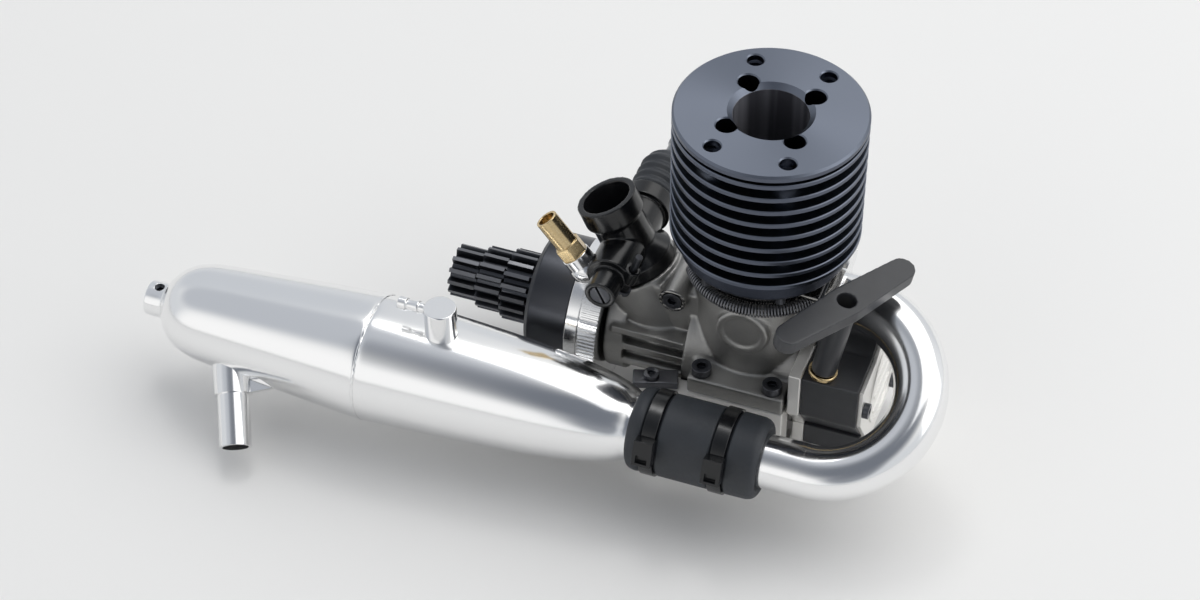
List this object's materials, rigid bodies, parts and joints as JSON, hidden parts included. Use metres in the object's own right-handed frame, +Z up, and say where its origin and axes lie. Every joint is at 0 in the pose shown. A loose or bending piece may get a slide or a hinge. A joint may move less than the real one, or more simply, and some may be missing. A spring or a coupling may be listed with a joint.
{
  "type": "model glow engine",
  "caption": "Small two-stroke model car engine with finned cooling head, carburettor, clutch bell, recoil starter with T-handle, header and polished tuned pipe",
  "frame": {"origin": "On the mounting plane under the two mount blocks, straight below the cylinder axis, in the middle of the four mounting holes.", "axes": "+X towards the recoil starter along the crank axis, +Y away from the tuned pipe, +Z up along the cylinder."},
  "size_m": [0.1966, 0.1044, 0.0963],
  "materials": {
    "cast_aluminium": "bead blasted casting",
    "blue_black_anodised": "dark anodised, satin",
    "polished_aluminium": "mirror polished",
    "machined_aluminium": "turned, satin",
    "black_oxide_steel": "black oxide, satin",
    "steel": "ground steel",
    "brass": "turned brass",
    "black_plastic": "moulded, satin",
    "nylon": "moulded nylon",
    "silicone": "matte silicone",
    "cord": "braided cord"
  },
  "bodies": {
    "engine": {"crankcase": "cast_aluminium", "cylinder_liner": "brass", "head_shim": "brass", "head_button": "machined_aluminium", "glow_plug": "steel", "cooling_head": "blue_black_anodised", "head_bolts": "black_oxide_steel", "button_screws": "black_oxide_steel", "rear_bearing": "steel", "front_bearing": "steel", "carburettor_body": "black_plastic", "slide_boot": "silicone", "fuel_banjo": "polished_aluminium", "needle_housing": "brass", "carburettor_bolt": "black_oxide_steel", "rear_cover": "cast_aluminium", "starter_housing": "black_plastic", "starter_plate": "machined_aluminium", "starter_screws": "black_oxide_steel", "recoil_spring": "steel", "cord_eyelet": "brass", "mount_blocks": "machined_aluminium", "lug_screws": "black_oxide_steel", "side_arm": "black_oxide_steel", "arm_screw": "black_oxide_steel", "exhaust_gasket": "silicone", "exhaust_header": "polished_aluminium", "header_spring": "black_oxide_steel", "silicone_joint": "silicone", "cable_ties": "nylon", "pipe_front": "polished_aluminium", "pipe_rear": "polished_aluminium", "pipe_baffle": "machined_aluminium", "tail_sleeve": "polished_aluminium", "tail_pipe": "polished_aluminium", "pressure_fitting": "polished_aluminium", "hanger_screw": "black_oxide_steel"},
    "crank": {"crankshaft": "steel", "flywheel": "machined_aluminium", "flywheel_collet": "brass", "clutch_shoes": "black_plastic", "clutch_spring": "steel", "clutch_nut": "steel", "bell_screw": "black_oxide_steel"},
    "bell": {"clutch_bell": "black_oxide_steel", "pinion_gears": "black_oxide_steel", "bell_bearings": "steel"},
    "piston_body": {"piston": "machined_aluminium", "wrist_pin": "steel"},
    "rod": {"connecting_rod": "machined_aluminium", "crank_pin": "steel"},
    "slide": {"throttle_slide": "steel", "throttle_ball": "steel"},
    "main_needle_body": {"main_needle": "brass"},
    "low_needle_body": {"low_speed_needle": "black_oxide_steel"},
    "idle_body": {"idle_screw": "black_oxide_steel"},
    "handle": {"pull_handle": "black_plastic", "pull_cord": "cord"},
    "pulley": {"starter_pulley": "black_plastic", "starter_shaft": "steel"}
  },
  "joints": [
    {"name": "crank_spin", "type": "hinge", "parent": "engine", "child": "crank", "pos_m": [0, 0, 0.02], "axis": [1, 0, 0], "continuous": true},
    {"name": "bell_spin", "type": "hinge", "parent": "crank", "child": "bell", "pos_m": [-0.06, 0, 0.02], "axis": [1, 0, 0], "continuous": true},
    {"name": "piston_slide", "type": "slide", "parent": "engine", "child": "piston_body", "axis": [0, 0, 1], "range_m": [0, 0.0144]},
    {"name": "rod_swing", "type": "hinge", "parent": "piston_body", "child": "rod", "pos_m": [0, 0, 0.0388], "axis": [1, 0, 0], "range_deg": [-16, 16]},
    {"name": "throttle_open", "type": "slide", "parent": "engine", "child": "slide", "axis": [0, 1, 0], "range_m": [0, 0.007]},
    {"name": "main_needle_turn", "type": "hinge", "parent": "engine", "child": "main_needle_body", "pos_m": [-0.0411, -0.01, 0.0425], "axis": [-0.6157, 0, 0.788], "range_deg": [-720, 1440]},
    {"name": "low_needle_turn", "type": "hinge", "parent": "engine", "child": "low_needle_body", "pos_m": [-0.03393, 0, 0.04501], "axis": [0, 1, 0], "range_deg": [-720, 720]},
    {"name": "idle_turn", "type": "hinge", "parent": "engine", "child": "idle_body", "pos_m": [-0.029, -0.0126, 0.046], "axis": [0.3057, 0, 0.9521], "range_deg": [-720, 720]},
    {"name": "handle_pull", "type": "slide", "parent": "engine", "child": "handle", "axis": [0.1685, 0, 0.9857], "range_m": [0, 0.3], "stiffness_N_per_m": 2, "springref_m": -0.5, "deforming": ["pull_cord"]},
    {"name": "pulley_turn", "type": "hinge", "parent": "engine", "child": "pulley", "pos_m": [0.02, 0, 0.02], "axis": [-1, 0, 0], "range_deg": [0, 1640]}
  ],
  "couplings": [
    {"joint": "pulley_turn", "follows": "handle_pull", "rad_per_m": 95.238}
  ]
}
